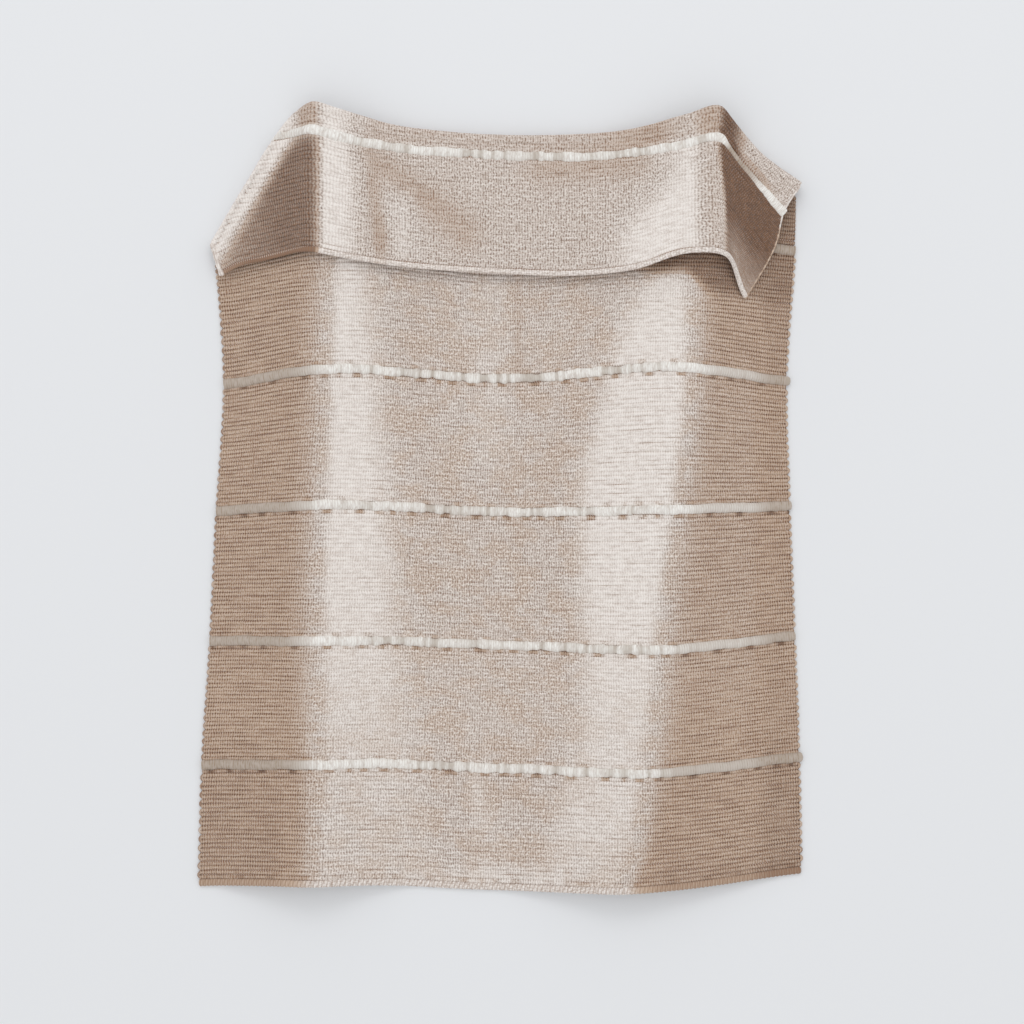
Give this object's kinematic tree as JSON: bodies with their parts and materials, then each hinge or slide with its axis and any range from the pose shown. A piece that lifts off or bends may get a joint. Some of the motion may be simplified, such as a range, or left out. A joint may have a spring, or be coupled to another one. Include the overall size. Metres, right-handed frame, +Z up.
{
  "type": "woven throw blanket laid out with its top end turned down",
  "caption": "Thick ribbed woven throw with raised roving stripes, laid out on the floor in two soft ridges, its top end folded down as a flap.",
  "frame": {"origin": "centre of the blanket's box, on the floor that it lies on", "axes": "+X across the blanket, +Y from the plain hem to the turned-down end, +Z up off the floor"},
  "size_m": [1.205, 1.5696, 0.1063],
  "materials": {
    "woven_wool_blend": "matte ribbed weave, cream and oat marl"
  },
  "bodies": {
    "root": {"throw_blanket": "woven_wool_blend"}
  },
  "joints": []
}
